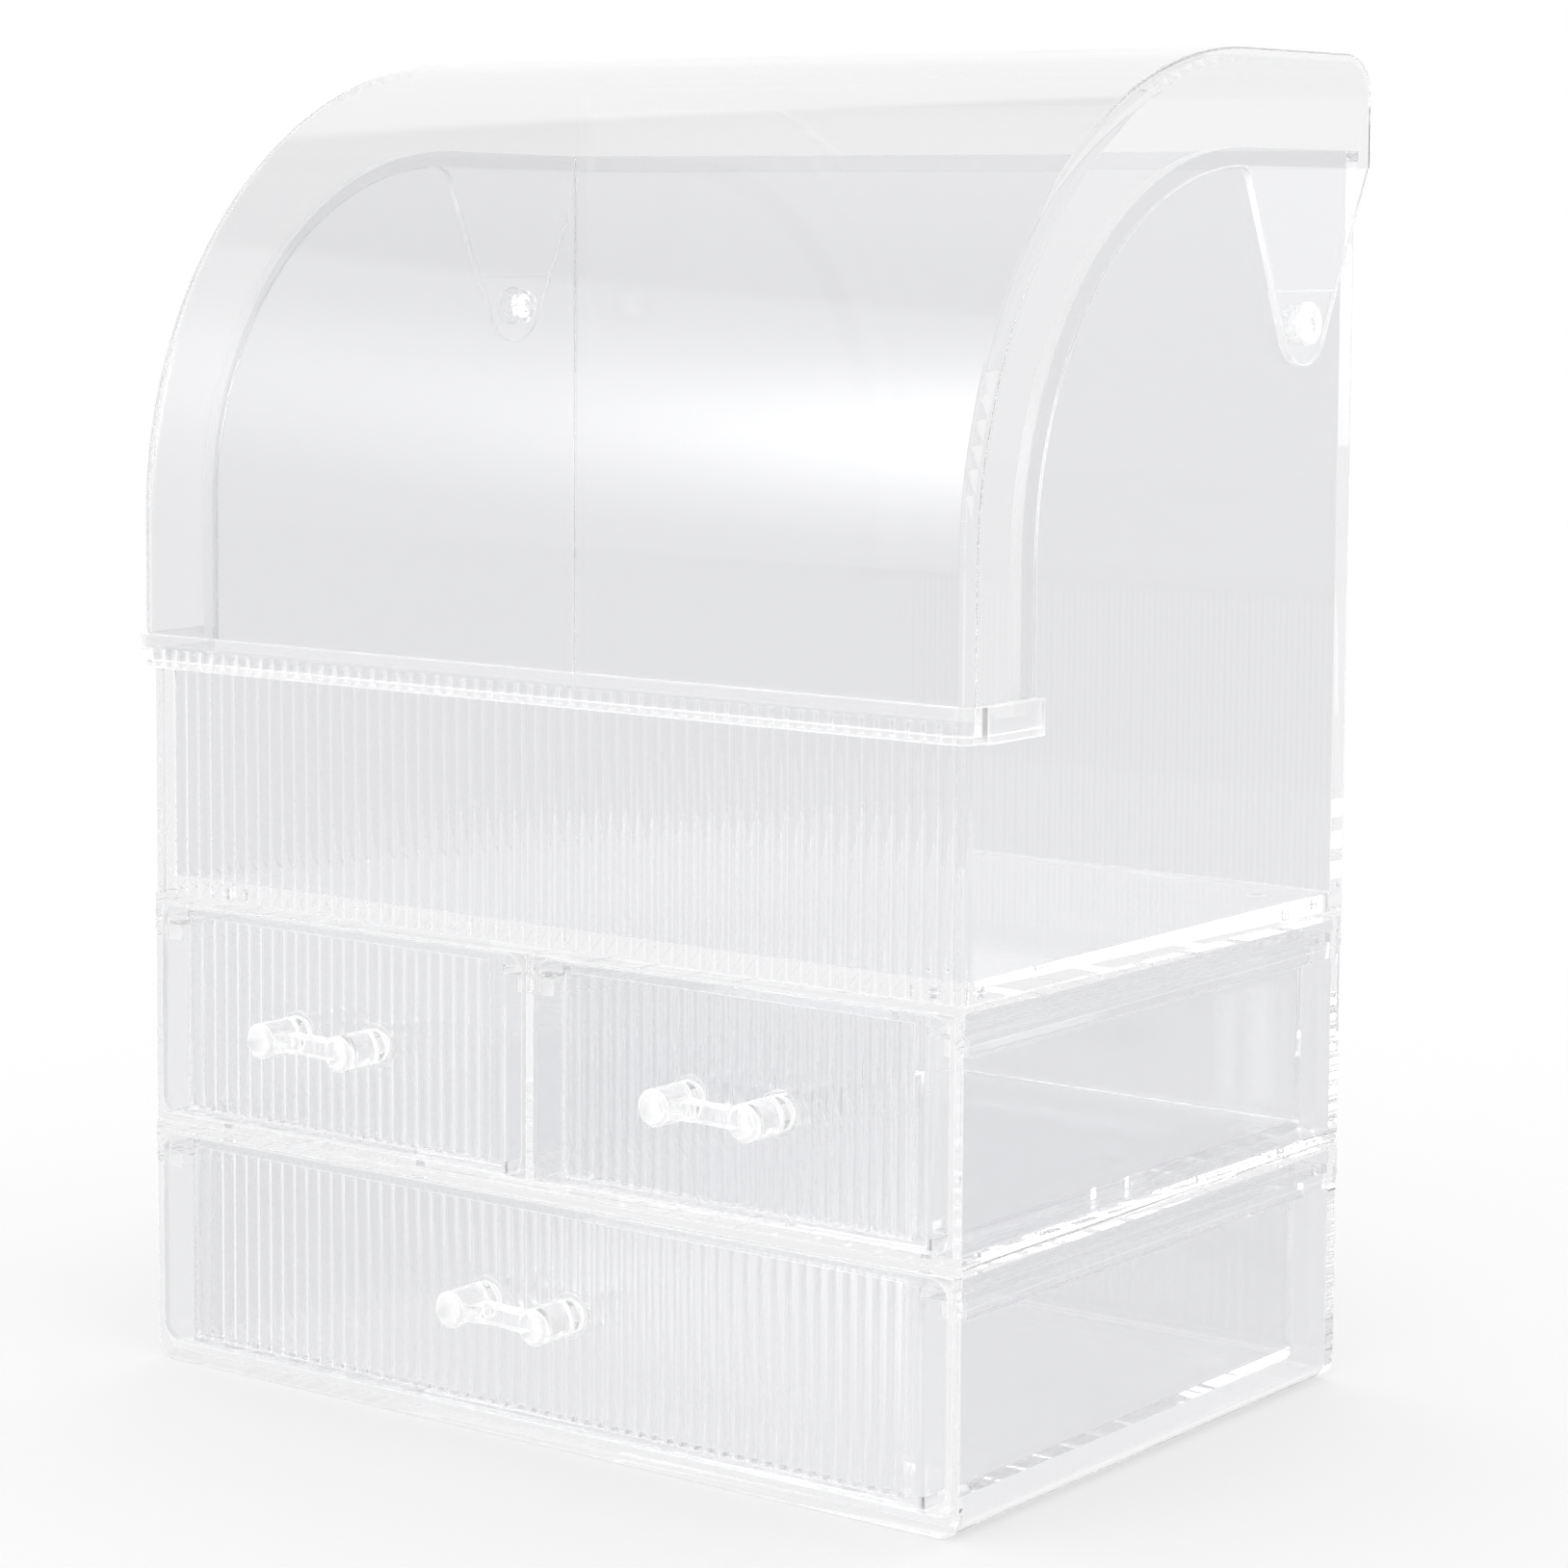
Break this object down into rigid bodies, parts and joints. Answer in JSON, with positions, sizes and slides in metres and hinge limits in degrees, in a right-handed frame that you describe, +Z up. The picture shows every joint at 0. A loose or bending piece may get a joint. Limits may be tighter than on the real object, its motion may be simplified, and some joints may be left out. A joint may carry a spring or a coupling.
{
  "type": "cosmetics organizer",
  "caption": "Clear stacking cosmetics organizer: reeded drawers on ledges under an open display case with a curved dust cover that swings up and back on rivets.",
  "frame": {"origin": "middle of the underside of the lower case, on the surface it stands on", "axes": "+X to the right as seen from the front, +Y to the back, +Z up; the drawers pull out towards -Y"},
  "size_m": [0.2494, 0.1807, 0.32],
  "materials": {
    "case_clear": "clear polished polystyrene",
    "cover_clear": "clear polished, curved sheet",
    "reeded_clear": "clear polished, half-round reeds",
    "tray_clear": "clear polished polystyrene",
    "pull_clear": "clear polished, solid",
    "rivet_clear": "clear snap rivet"
  },
  "bodies": {
    "case": {"lower_case": "case_clear", "middle_case": "case_clear", "display_case": "case_clear", "left_rivet": "rivet_clear", "right_rivet": "rivet_clear", "left_rivet_cap": "rivet_clear", "right_rivet_cap": "rivet_clear"},
    "cover": {"cover_shell": "cover_clear", "cover_rail": "reeded_clear"},
    "upper_left_drawer": {"upper_left_tray": "tray_clear", "upper_left_front": "reeded_clear", "upper_left_pull": "pull_clear"},
    "upper_right_drawer": {"upper_right_tray": "tray_clear", "upper_right_front": "reeded_clear", "upper_right_pull": "pull_clear"},
    "lower_drawer": {"lower_tray": "tray_clear", "lower_front": "reeded_clear", "lower_pull": "pull_clear"}
  },
  "joints": [
    {"name": "cover_hinge", "type": "hinge", "parent": "case", "child": "cover", "pos_m": [0, 0.0543, 0.2566], "axis": [-1, 0, 0], "range_deg": [0, 105]},
    {"name": "upper_left_slide", "type": "slide", "parent": "case", "child": "upper_left_drawer", "axis": [0, -1, 0], "range_m": [0, 0.11]},
    {"name": "upper_right_slide", "type": "slide", "parent": "case", "child": "upper_right_drawer", "axis": [0, -1, 0], "range_m": [0, 0.11]},
    {"name": "lower_slide", "type": "slide", "parent": "case", "child": "lower_drawer", "axis": [0, -1, 0], "range_m": [0, 0.11]}
  ]
}
